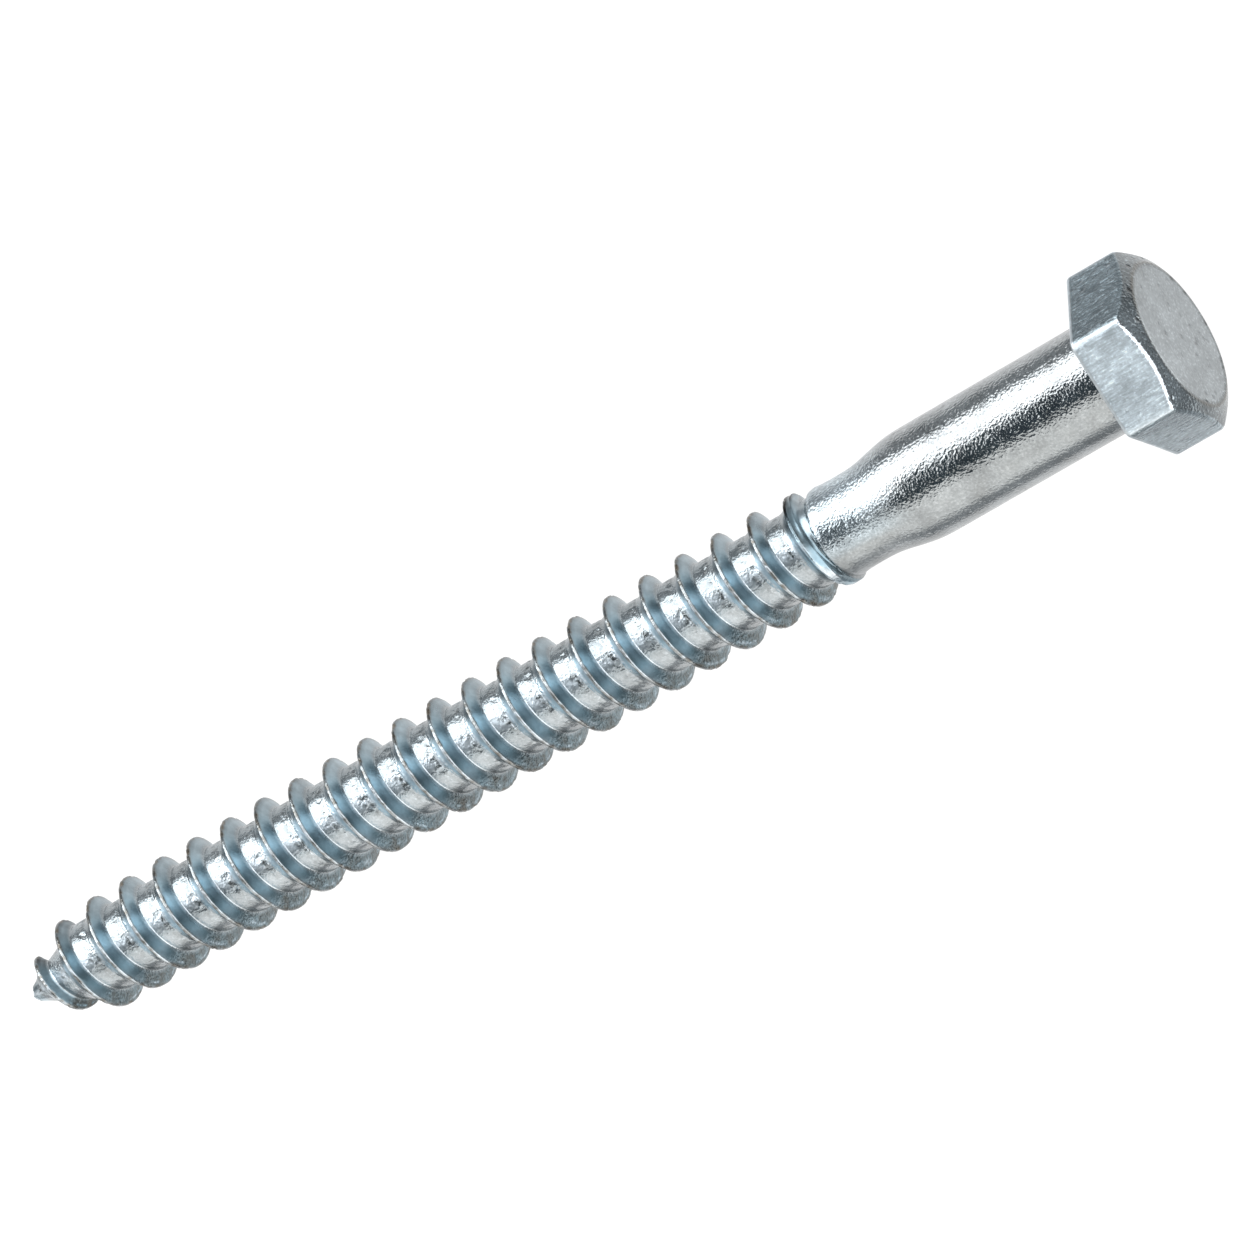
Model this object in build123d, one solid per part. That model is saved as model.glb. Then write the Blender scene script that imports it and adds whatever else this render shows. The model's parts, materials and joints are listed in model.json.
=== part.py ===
from build123d import *
import math
import os

# Hex head lag screw (coach screw): forged head, rolled wood thread, one piece of steel.
# Millimetres. The screw is modelled upright on its own axis, with the bearing face under
# the head at z = 0, the head above it and the point below. Last, it is laid on its side.

# Head
across_flats = 14.57
head_height = 5.62
corner_rounding = 1.03
top_circle_diameter = 12.75
chamfer_angle = 30.0
under_head_flare = 0.42

# Plain shank, and the thinner neck that the thread is rolled from
length = 113.67
shank_diameter = 9.4
shank_length = 20.12
neck_taper_length = 4.7
neck_diameter = 7.78
neck_length = 3.76
neck_bend_radius = 11.3

# Wood thread, right-handed: a sharp crest over a wide root, with a steep flank towards
# the head and a longer one towards the point
pitch = 3.688
crest_diameter = 9.51
root_diameter = 6.86
head_flank_width = 0.72
tip_flank_width = 1.05
root_shoulder_length = 1.03

# Gimlet point
point_end_diameter = 1.17
point_half_angle = 23.2
thread_start_gap = 0.8
thread_start_angle = 120.0
start_ramp_turns = 0.3
start_crest_diameter = 4.89
point_thread_turns = 1.7

# Run-out of the thread on the neck
runout_turns = 1.35
runout_tail_turns = 0.2
runout_crest_diameter = 8.65
runout_past_neck = 1.08

# The ridge reaches this far into the core, so that the two fuse
foot_depth = 0.2

# Lying down, the flat of the head on this side is underneath
bottom_angle = 180

# Worked out from the sizes above
shank_radius = shank_diameter / 2
neck_radius = neck_diameter / 2
root_radius = root_diameter / 2
crest_radius = crest_diameter / 2
point_end_radius = point_end_diameter / 2
thread_depth = crest_radius - root_radius
taper_start = -shank_length
taper_end = taper_start - neck_taper_length
neck_end = taper_end - neck_length
root_start = neck_end - root_shoulder_length
tip_end = -length
cone_slope = math.tan(math.radians(point_half_angle))
cone_top = tip_end + (root_radius - point_end_radius) / cone_slope
thread_start = tip_end + thread_start_gap
thread_turns = (neck_end + runout_past_neck - thread_start) / pitch


def core_radius(z):
    """Radius of the core under the thread at a height: the point's cone, then the root."""
    cone_radius = point_end_radius + (z - tip_end) * cone_slope
    return min(root_radius, max(point_end_radius, cone_radius))


# Stages of the crest along the thread, each a turn and a radius: the ramp at the start,
# the taper of the point, the full thread, its run-out and the tail
crest_course = [
    (0, core_radius(thread_start)),
    (start_ramp_turns, start_crest_diameter / 2),
    (point_thread_turns, crest_radius),
    (thread_turns - runout_turns, crest_radius),
    (thread_turns - runout_tail_turns, runout_crest_diameter / 2),
    (thread_turns, neck_radius - foot_depth),
]


def make_head():
    """Hexagon with rounded corners, its top edge turned off to a cone."""
    corner_radius = across_flats / math.sqrt(3)
    chamfer_drop = (corner_radius - top_circle_diameter / 2) * math.tan(math.radians(chamfer_angle))
    with BuildPart() as head:
        with BuildSketch():
            hexagon = RegularPolygon(across_flats / 2, 6, major_radius=False, rotation=30)
            fillet(hexagon.vertices(), radius=corner_rounding)
        extrude(amount=head_height)
        with BuildSketch(Plane.XZ):
            with BuildLine():
                Polyline(
                    (0, 0),
                    (corner_radius, 0),
                    (corner_radius, head_height - chamfer_drop),
                    (top_circle_diameter / 2, head_height),
                    (0, head_height),
                    close=True,
                )
            make_face()
        revolve(axis=Axis.Z, mode=Mode.INTERSECT)
    return head.part


def make_core():
    """The round body without its thread: point, root, neck, taper and shank."""
    with BuildPart() as core:
        with BuildSketch(Plane.XZ):
            with BuildLine():
                Polyline(
                    (0, tip_end),
                    (point_end_radius, tip_end),
                    (root_radius, cone_top),
                    (root_radius, root_start),
                )
                Line((root_radius, root_start), (neck_radius, neck_end))
                FilletPolyline(
                    (neck_radius, neck_end),
                    (neck_radius, taper_end),
                    (shank_radius, taper_start),
                    (shank_radius, -under_head_flare),
                    radius=neck_bend_radius,
                )
                Line((shank_radius, -under_head_flare), (shank_radius + under_head_flare, 0))
                Polyline(
                    (shank_radius + under_head_flare, 0),
                    (0, 0),
                    (0, tip_end),
                )
            make_face()
        revolve(axis=Axis.Z)
    return core.part


def crest_at(turn):
    """Radius of the ridge's crest at a turn, changing evenly between the named stages."""
    for (start, start_radius), (end, end_radius) in zip(crest_course, crest_course[1:]):
        if turn <= end:
            break
    share = (turn - start) / (end - start)
    return start_radius + share * (end_radius - start_radius)


def ridge_turns():
    """Turns at which one stretch of the ridge ends and the next begins."""
    stages = [turn for turn, radius in crest_course]
    full_start, full_end = stages[2], stages[3]
    rings = [full_start + ring for ring in range(1, math.ceil(full_end - full_start))]
    return sorted(stages + rings)


def ridge_section(turn):
    """The ridge's corners at a turn, as (radius, height): tip side foot, crest, head side foot."""
    z = thread_start + turn * pitch
    crest = crest_at(turn)
    share = (crest - core_radius(z)) / thread_depth
    tip_foot = z - share * tip_flank_width
    head_foot = z + share * head_flank_width
    return [
        (core_radius(tip_foot) - foot_depth, tip_foot),
        (crest, z),
        (core_radius(head_foot) - foot_depth, head_foot),
    ]


def helical_edge(start_turn, start, end_turn, end):
    """A helical edge between two (radius, height) corners, with its radius changing evenly."""
    height = end[1] - start[1]
    slope = math.atan2(end[0] - start[0], height)
    edge = Edge.make_helix(
        pitch=height / (end_turn - start_turn) / math.cos(slope),
        height=height,
        radius=start[0],
        center=(0, 0, start[1]),
        angle=math.degrees(slope),
    )
    return edge.rotate(Axis.Z, thread_start_angle + 360 * start_turn)


def end_cap(turn, corners):
    """The flat section that closes the ridge, inside the core."""
    outline = Wire.make_polygon([Vector(radius, 0, z) for radius, z in corners])
    return Face(outline).rotate(Axis.Z, thread_start_angle + 360 * turn)


def make_ridge():
    """The thread ridge: strips ruled between helical edges, and its two end sections."""
    turns = ridge_turns()
    sections = [ridge_section(turn) for turn in turns]
    faces = [end_cap(turns[0], sections[0]), end_cap(turns[-1], sections[-1])]
    for i in range(len(turns) - 1):
        edges = [
            helical_edge(turns[i], start, turns[i + 1], end)
            for start, end in zip(sections[i], sections[i + 1])
        ]
        for edge, next_edge in zip(edges, edges[1:] + edges[:1]):
            faces.append(Face.make_surface_from_curves(edge, next_edge))
    return Solid(Shell(faces))


def rest_tilt():
    """Slope of the axis as the screw lies on the bearing edge of its bottom flat and a crest."""
    turn = (bottom_angle - thread_start_angle) / 360
    slopes = []
    while turn < thread_turns:
        if turn > start_ramp_turns:
            below_head = -(thread_start + turn * pitch)
            slopes.append((across_flats / 2 - crest_at(turn)) / below_head)
        turn += 1
    return math.degrees(math.atan(min(slopes)))


def lay_down(screw):
    """The screw at rest on a flat of its head, with its head towards +X."""
    lying = Rot(Y=90 - rest_tilt()) * Rot(Z=180) * screw
    box = lying.bounding_box()
    return Pos(-box.center().X, -box.center().Y, -box.min.Z) * lying


screw = make_core() + make_ridge() + make_head()
lag_screw = lay_down(screw)

os.makedirs("parts", exist_ok=True)
export_step(lag_screw, "parts/lag_screw.step")
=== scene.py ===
"""A lag screw in bright zinc-plated steel, lying on a pale table under soft studio light.

The screw is one forged and rolled piece: a hexagon head, a plain shank, a necked-down blank
and a rolled wood thread that runs out to a gimlet point.
"""
import json
import logging
import math
from dataclasses import dataclass, field, fields
from enum import Enum
from typing import Any, Iterable, Sequence

import bmesh
import bpy
from mathutils import Matrix, Vector, noise


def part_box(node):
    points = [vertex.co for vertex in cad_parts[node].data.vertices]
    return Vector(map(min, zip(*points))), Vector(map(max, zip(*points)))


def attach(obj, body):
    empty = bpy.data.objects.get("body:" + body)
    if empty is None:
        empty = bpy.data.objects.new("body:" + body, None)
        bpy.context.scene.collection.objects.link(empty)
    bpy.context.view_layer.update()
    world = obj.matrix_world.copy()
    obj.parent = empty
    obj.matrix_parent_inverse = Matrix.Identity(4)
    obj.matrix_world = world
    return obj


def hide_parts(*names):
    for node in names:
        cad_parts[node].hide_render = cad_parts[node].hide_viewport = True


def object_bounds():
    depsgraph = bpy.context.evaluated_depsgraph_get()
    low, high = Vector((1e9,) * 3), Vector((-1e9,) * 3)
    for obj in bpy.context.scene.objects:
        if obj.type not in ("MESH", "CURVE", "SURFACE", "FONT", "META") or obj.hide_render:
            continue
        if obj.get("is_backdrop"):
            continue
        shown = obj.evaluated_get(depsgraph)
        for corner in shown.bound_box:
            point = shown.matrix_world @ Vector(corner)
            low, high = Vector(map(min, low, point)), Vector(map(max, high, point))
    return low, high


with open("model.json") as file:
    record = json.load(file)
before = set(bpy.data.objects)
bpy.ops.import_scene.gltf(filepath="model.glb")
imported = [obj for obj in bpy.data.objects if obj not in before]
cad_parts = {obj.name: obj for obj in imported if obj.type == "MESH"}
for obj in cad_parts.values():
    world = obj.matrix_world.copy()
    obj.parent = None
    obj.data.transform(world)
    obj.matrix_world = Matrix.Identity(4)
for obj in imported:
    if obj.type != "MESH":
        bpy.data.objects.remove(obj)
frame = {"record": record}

log = logging.getLogger("lag_screw")

MM = 0.001
CAD_NODE = "lag_screw"


class Zone(Enum):
    """The parts of the skin that have a finish of their own."""

    THREAD = "thread"
    RIM = "rim between thread and neck"
    SHANK = "neck and shank"
    BEARING_FACE = "bearing face"
    CROWN = "crown"
    CHAMFER = "chamfer"
    BEARING_EDGE = "edge of the bearing face"
    CORNER = "corner of the hexagon"
    SHOULDER = "edge between the top flat and the chamfer"
    TOP_FLAT = "top flat"
    NEXT_FLAT = "flat next to it"
    FLAT = "any other flat"


def linear(code: str) -> tuple[float, float, float, float]:
    """Turn an sRGB hex colour into linear light.

    Args:
        code: The colour as six hex digits, with or without a leading hash.

    Returns:
        The linear red, green, blue and alpha.
    """
    digits = code.lstrip("#")
    channels = []
    for place in (0, 2, 4):
        value = int(digits[place:place + 2], 16) / 255.0
        channels.append(value / 12.92 if value <= 0.04045 else ((value + 0.055) / 1.055) ** 2.4)
    return (channels[0], channels[1], channels[2], 1.0)


def clamp(value: float, low: float = 0.0, high: float = 1.0) -> float:
    """Keep value between low and high."""
    return max(low, min(high, value))


def ease(value: float) -> float:
    """Smooth step from 0 to 1 as value goes from 0 to 1."""
    t = clamp(value)
    return t * t * (3.0 - 2.0 * t)


def rise(value: float, start: float, over: float) -> float:
    """Smooth step from 0 to 1 as value goes from start to start + over."""
    return ease((value - start) / over)


def bell(value: float, middle: float, width: float) -> float:
    """Soft bump that is 1 at the middle and fades over the width."""
    return math.exp(-((value - middle) / width) ** 2)


def course(points: Sequence[tuple[float, float]], at: float) -> float:
    """Read a size that changes along the screw.

    Args:
        points: Stations and sizes, in rising order of station.
        at: The station to read.

    Returns:
        The size there, on straight lines between the stations.
    """
    if at <= points[0][0]:
        return points[0][1]
    for (x0, y0), (x1, y1) in zip(points, points[1:]):
        if at <= x1:
            return y0 + (y1 - y0) * (at - x0) / (x1 - x0)
    return points[-1][1]


def on_ring(angle: float, radius: float) -> tuple[float, float]:
    """Side and height of a point round the axis, by its angle from the top."""
    return -math.sin(angle) * radius, math.cos(angle) * radius


@dataclass(frozen=True)
class Grit:
    """A smooth pattern of bumps, from -1 to 1, by the size of a bump in mm and a fixed seed."""

    size: float
    seed: float = 0.0

    def at(self, x: float, y: float, z: float) -> float:
        """Read the pattern at a point."""
        place = (x / self.size + self.seed, y / self.size - self.seed, z / self.size + 2.0 * self.seed)
        return noise.noise(Vector(place))


def place(name: str, bm: bmesh.types.BMesh) -> bpy.types.Object:
    """Turn a finished bmesh into an object of the scene, both under one name."""
    mesh = bpy.data.meshes.new(name)
    bm.to_mesh(mesh)
    bm.free()
    thing = bpy.data.objects.new(name, mesh)
    bpy.context.scene.collection.objects.link(thing)
    return thing


def fresh_tree(owner: bpy.types.Material | bpy.types.World) -> bpy.types.NodeTree:
    """Give a material or a world an empty node tree."""
    owner.use_nodes = True
    owner.node_tree.nodes.clear()
    return owner.node_tree


@dataclass(frozen=True)
class Lie:
    """How the screw lies: the middle of its bearing face, and its axis towards the head."""

    middle: Vector
    along: Vector

    @classmethod
    def from_record(cls, record: dict[str, Any], shank_middle: float) -> "Lie":
        """Read the lie from the shank mount.

        Args:
            record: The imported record.
            shank_middle: How far the mount lies below the bearing face, in mm.

        Returns:
            The lie, in metres.
        """
        mount = next(m for m in record["mounts"] if m["name"] == "shank")
        along = -Vector(mount["axis"]).normalized()
        return cls(Vector(mount["pos_m"]) + along * shank_middle * MM, along)

    @property
    def up(self) -> Vector:
        """The direction square to the axis, nearest to straight up."""
        return Vector((-self.along.z, 0.0, self.along.x))

    def matrix(self) -> Matrix:
        """From the screw's own millimetres to the row frame in metres."""
        side = Vector((0.0, 1.0, 0.0))
        turn = Matrix((self.along, side, self.up)).transposed().to_4x4()
        return Matrix.Translation(self.middle) @ turn @ Matrix.Scale(MM, 4)


@dataclass(frozen=True)
class Look:
    """What the finish does at one place on the skin.

    Each is 0 for none and 1 for plenty. Below 0, pale darkens evenly instead. The paleness carries
    painted highlights and painted shade as well as real tone, and the browning carries painted shade on
    the lower flanks as well as wear.
    """

    grain: float = 0.5
    stain_and_shade: float = 0.0
    blue: float = 0.0
    matte: float = 0.18
    pale: float = 0.0
    streaks: float = 0.0
    knocks: float = 0.0


LOOK_NAMES = tuple(part.name for part in fields(Look))

# Zones whose finish is the same all over: the knocked edges carry painted highlights, the flats that the
# drawing die has rubbed are streaked, the top flat is painted paler and the far flats darker by how they
# face the light, and the rim gets a painted line of shade
EVEN_LOOKS = {
    Zone.RIM: Look(grain=0.3, blue=0.6, matte=0.6, pale=-0.4),
    Zone.BEARING_FACE: Look(grain=0.6, matte=0.3),
    Zone.BEARING_EDGE: Look(grain=0.3, pale=0.5, matte=1.4, knocks=0.4),
    Zone.CORNER: Look(grain=0.4, pale=1.1, matte=0.1, knocks=0.4),
    Zone.SHOULDER: Look(grain=0.6, pale=1.3, matte=0.2, knocks=0.8),
    Zone.TOP_FLAT: Look(grain=0.3, blue=0.9, matte=1.6, pale=0.83, streaks=0.9, knocks=0.6),
    Zone.NEXT_FLAT: Look(grain=0.35, blue=0.35, matte=0.7, pale=0.1, streaks=1.0, knocks=0.7),
    Zone.FLAT: Look(grain=0.3, blue=0.45, matte=0.6, pale=-0.1, streaks=1.25, knocks=0.7),
}


@dataclass
class Thread:
    """The rolled wood thread and its gimlet point. Sizes in mm, stations from the bearing face."""

    pitch: float = 3.688
    top_crest: float = -99.36
    first_turn: float = -112.87
    land: float = 0.26
    head_flank: float = 0.62
    tip_flank: float = 0.24
    tip_fillet: float = 1.00
    fillet_height: float = 0.40
    point_end: float = -113.38
    join: float = -26.9
    rim: float = -28.50
    steps: int = 108
    turn_of_end: float = 23.25
    groove_fill: float = 0.30
    groove_start: float = 0.3
    run_out_turn: float = 21.9
    run_out_blend: float = 0.6
    ledge_turn: float = 22.66
    early_turn: float = 1.2
    root_middle: float = 1.65
    point_top: float = -112.9
    cone_top: float = -106.5
    pattern_radius: float = 4.0
    nick: Grit = Grit(0.40, 3.1)
    chip: Grit = Grit(1.3, 8.3)
    broken: Grit = Grit(0.5, 5.0)
    fold_depth: Grit = Grit(3.0, 1.7)
    fold_drift: Grit = Grit(4.0, 5.5)
    pits: Grit = Grit(0.50, 6.6)
    fine_pits: Grit = Grit(0.25, 4.1)
    root_wave: Grit = Grit(0.9, 2.2)
    dark_pits: Grit = Grit(0.45, 6.6)
    glint_path: Grit = Grit(1.3, 4.8)
    glint_gaps: Grit = Grit(0.8, 6.2)
    shade_cloud: Grit = Grit(0.7, 2.6)
    flank_cloud: Grit = Grit(1.1, 7.7)
    core_course: Sequence[tuple[float, float]] = (
        (-113.67, 0.30), (-113.38, 0.52), (-113.1, 0.76), (-112.33, 1.13), (-110.86, 1.85),
        (-109.42, 2.38), (-108.2, 2.92), (-107.0, 3.42), (-106.2, 3.45), (-28.60, 3.47),
        (-28.44, 3.92), (-28.0, 3.99), (-27.3, 3.91), (-20.0, 3.89),
    )
    crest_course: Sequence[tuple[float, float]] = (
        (0.05, 0.4), (0.25, 2.07), (0.40, 2.68), (0.90, 3.234), (1.40, 4.324), (1.90, 4.67),
        (2.40, 4.70), (3.40, 4.752), (21.6, 4.752), (22.4, 4.456), (22.9, 4.324), (23.15, 3.88),
        (23.25, 3.5),
    )
    drift_course: Sequence[tuple[float, float]] = (
        (22.0, 0.0), (22.4, 0.30), (22.66, 0.30), (22.9, 0.70), (23.25, 0.95),
    )

    def stations(self) -> list[float]:
        """Where the rows of the mesh run over one pitch, measured from a crest."""
        half = self.land / 2.0
        tip_foot = -half - self.tip_flank - self.tip_fillet
        knee = -half - self.tip_flank
        foot = half + self.head_flank
        rows = [-self.pitch / 2, -1.72, -1.60, tip_foot - 0.14, tip_foot - 0.04, tip_foot + 0.06]
        rows += [tip_foot + self.tip_fillet * k for k in (0.25, 0.5, 0.75)]
        rows += [knee, knee + 0.6 * self.tip_flank, -half - 0.04, -half + 0.02]
        rows += [half - 0.02, half + 0.04]
        rows += [half + k * self.head_flank for k in (0.18, 0.28, 0.40, 0.72)]
        rows += [foot - 0.03, foot + 0.03, foot + 0.10, foot + 0.25, 1.15, 1.40, 1.58, 1.72]
        return rows

    def core(self, x: float) -> float:
        """Radius of the root, the cone of the point and the first of the neck."""
        return course(self.core_course, x)

    def run_out(self, turn: float) -> float:
        """How far the thread has begun to run out at a turn, from 0 to 1."""
        return rise(turn, self.run_out_turn, self.run_out_blend)

    def crest(self, turn: float) -> float:
        """Radius of the crest, counted in turns from the point."""
        if turn < 0.05 or turn > self.turn_of_end:
            return 0.0
        return course(self.crest_course, turn)

    def where(self, x: float, angle: float) -> tuple[float, float]:
        """Find the nearest crest.

        Args:
            x: Station along the axis.
            angle: Angle round the axis from the top, in radians.

        Returns:
            The offset from that crest towards the head, and the crest's turn.
        """
        count = (x - self.top_crest) / self.pitch - angle / math.tau
        offset = (count - round(count)) * self.pitch
        turn = (x - offset - self.first_turn) / self.pitch
        return offset + course(self.drift_course, turn), turn

    def form(self, offset: float, turn: float) -> float:
        """Share of the ridge's height at an offset from its crest, from 0 to 1."""
        spread = self.run_out(turn)
        half = self.land / 2.0
        wide = half + 0.48 * spread
        fall = 0.45 * rise(turn, 22.42, 0.12) * (1.0 - rise(turn, 22.68, 0.08))
        if offset >= wide:
            steep = self.head_flank * (1.0 - 0.6 * spread)
            return (1.0 - fall) * clamp(1.0 - (offset - wide) / steep)
        if offset > -half:
            dip = spread * (1.0 - rise(turn, 22.45, 0.2))
            slope = fall * clamp((offset - half) / (wide - half + 1e-6))
            return 1.0 - slope - 0.16 * dip * bell(offset, 0.33, 0.13)
        depth = -offset - half
        if depth <= 0.0:
            return 1.0
        steep = self.tip_flank
        if depth < steep:
            return 1.0 - (1.0 - self.fillet_height) * depth / steep
        rest = clamp((depth - steep) / self.tip_fillet)
        return self.fillet_height * (1.0 - rest) ** 1.9

    def share(self, x: float, offset: float, turn: float) -> float:
        """Share of the ridge's height at a place on the thread.

        Args:
            x: Station along the axis.
            offset: Distance from the nearest crest towards the head.
            turn: The crest's turn.

        Returns:
            The share, with the groove between the last ring and the rim part filled.
        """
        share = self.form(offset, turn)
        if offset > self.groove_start and x < self.rim:
            share = max(share, self.groove_fill * rise(turn, 22.3, 0.25))
        return share

    def radius(self, x: float, angle: float) -> float:
        """Radius of the skin, with its nicks and rolling marks.

        Args:
            x: Station along the axis.
            angle: Angle round the axis from the top, in radians.

        Returns:
            The radius in mm.
        """
        offset, turn = self.where(x, angle)
        core = self.core(x)
        crest = self.crest(turn)
        y, z = on_ring(angle, self.pattern_radius)
        height = max(0.0, crest - core)
        share = self.share(x, offset, turn) if height > 0.0 else 0.0
        nick = 0.16 * max(0.0, self.nick.at(x, y, z) - 0.10)
        nick += 0.10 * max(0.0, self.chip.at(x, y, z) - 0.25)
        top = rise(share, 0.72, 0.28)
        result = core + height * share - nick * top * min(1.0, height)
        if share < 0.05 and self.cone_top < x < self.rim:
            calm = 0.5 * ease(math.degrees(angle) / 30.0)
            result += self.root_marks(offset, x, y, z) * (1.0 - calm)
        if x < self.point_top:
            result += 0.07 * self.broken.at(x, y * 0.3, z * 0.3)
        return result

    def root_marks(self, offset: float, x: float, y: float, z: float) -> float:
        """Rise or fall of the root where the blank's metal has folded under the roll.

        Args:
            offset: Distance from the nearest crest towards the head.
            x: Station along the axis.
            y: Side of the point, for the patterns.
            z: Height of the point, for the patterns.

        Returns:
            The rise in mm, below 0 in a fold or a pit.
        """
        seam = -self.land / 2 - self.tip_flank - self.tip_fillet - 0.05
        fold = bell(offset, seam, 0.09) * (0.06 + 0.07 * self.fold_depth.at(x, y, z))
        middle = seam - 0.34 + 0.18 * self.fold_drift.at(x, y, z)
        rough = bell(self.wrap(offset - middle), 0.0, 0.38)
        pits = self.pits.at(x, y, z) + 0.25 * self.fine_pits.at(x, y, z) - 0.02
        return -fold - 0.20 * rough * max(0.0, pits) + 0.012 * self.root_wave.at(x, y, z)

    def wrap(self, distance: float) -> float:
        """Bring a distance along the axis to within half a pitch of 0."""
        return (distance + self.pitch / 2) % self.pitch - self.pitch / 2

    def look(self, x: float, angle: float) -> Look:
        """Mix the finish there: burnished blue flanks, pitted root, crests browned by wear, and painted
        light and shade by the angle round the screw.

        Args:
            x: Station along the axis.
            angle: Angle round the axis from the top, in radians.

        Returns:
            The finish.
        """
        offset, turn = self.where(x, angle)
        ridge = self.crest(turn) - self.core(x)
        share = self.share(x, offset, turn) if ridge > 0.1 else 0.0
        y, z = on_ring(angle, self.pattern_radius)
        degrees = math.degrees(angle)
        # Round the screw: its upper part, its lower part, and the calmer root between them; they also
        # place the painted light and shade
        high, low = rise(-degrees, 40.0, 30.0), rise(degrees, 30.0, 25.0)
        calm = rise(degrees, 8.0, 12.0)
        # Up the ridge: the bed of the root, both flanks, and the crest
        flank = ease(share / 0.12) * (1.0 - rise(share, 0.9, 0.1))
        bed = 1.0 - flank
        crest = rise(share, 0.86, 0.14)
        tip_side = rise(-offset, 0.2, 0.3) * ease((share - 0.001) * 40.0)
        # Along the thread: the broken point, the first turn, the run-out with its ledge and groove
        point = 1.0 - rise(x, self.point_top + 0.3, 0.8)
        early = 1.0 - rise(turn, self.early_turn, 0.6)
        run_out = self.run_out(turn)
        ledge = crest * run_out
        groove = rise(offset, 0.75, 0.2) * run_out
        # Marks of the rolls and of handling, and on the lower flanks painted shade and a painted glint
        rough = bell(self.wrap(offset + self.root_middle), 0.0, 0.5)
        pit = rough * rise(self.dark_pits.at(x, y, z), 0.04, 0.14)
        nicked = clamp(0.5 + 1.6 * self.nick.at(x, y, z))
        # Painted shade on the lower flanks: darker, browned and grainier
        wear = flank * low * (1.0 - 0.7 * tip_side)
        # A painted glint: a bright wavy line along the lower flanks, broken into pieces
        path = 0.70 + 0.14 * self.glint_path.at(x, y, z)
        low_glint = low * bell(share, path, 0.07) * ease(0.3 + 3.0 * self.glint_gaps.at(x, y, z))
        # Painted light and shade on the burnished flank: bands by the angle round the screw, a darker
        # upper side with a paler middle, darker towards the root, over random clouds; the first turn is
        # darker
        bands = 0.22 * bell(degrees, -26.0, 9.0) - 0.42 * bell(degrees, 0.0, 11.0)
        bands += 0.28 * bell(degrees, 25.0, 10.0)
        flank_tone = bands * (1.0 - tip_side) * (1.0 - run_out) * (1.0 - early)
        flank_tone += 0.25 * self.flank_cloud.at(x, y, z) - 0.6 * early
        flank_tone += high * (0.45 * bell(share, 0.45, 0.25) - 0.44)
        flank_tone -= 0.22 * (1.0 - share) * (1.0 - low) * (1.0 - tip_side)
        # Painted light on the root: a paler band over its dark reflection, paler low down and darker up
        # top, with the real pits left dark in the band
        shade = bell(degrees, -8.0, 12.0)
        bed_tone = 0.35 * calm * (1.0 - low) - 0.35 * high + shade * (1.35 - 2.1 * pit)
        # Painted glint on the lower flanks, and painted shade on the crests of the upper side
        crest_tone = 0.8 * low_glint - 0.4 * crest * high
        # Painted highlight and painted shade on the ledge of the last ring
        ledge_tone = 1.1 * bell(turn, self.ledge_turn + 0.09, 0.05)
        ledge_tone -= 0.7 * (1.0 - rise(turn, self.ledge_turn, 0.05))
        # Painted highlight on the tip-side fillets, and painted shade on the upper side of the point
        tip_tone = 0.8 * tip_side * bell(degrees, -14.0, 16.0) - 0.4 * point * ease(-degrees / 20.0)
        return Look(
            grain=(0.5 * bed * (1.0 - 0.4 * calm) + 0.07) * (1.0 - 0.6 * point)
            + 0.3 * rough * (1.0 - 0.6 * calm) + 2.4 * wear,
            stain_and_shade=(0.8 + 0.2 * high) * crest * nicked * (1.0 - run_out) + 0.2 * rough * nicked
            + wear * (0.54 + 0.35 * self.shade_cloud.at(x, y, z)) * (1.0 - low_glint),
            blue=max(flank * (1.0 - 0.7 * tip_side) * (1.0 - 0.4 * high) * (1.0 - 0.5 * groove),
                     0.8 * ledge, 0.6 * point, 0.25 * bed * (1.0 - calm)),
            matte=(0.55 + 0.45 * shade * (1.0 - pit)) * bed + flank * (0.78 + 0.6 * early),
            # Paleness: the painted light and shade above, plus a painted highlight in the groove except
            # low down
            pale=flank * flank_tone + bed * bed_tone + crest_tone + ledge * ledge_tone + tip_tone
            + 0.3 * groove * (1.0 - low) - 0.14 * wear,
            knocks=0.5 * rough)

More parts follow.
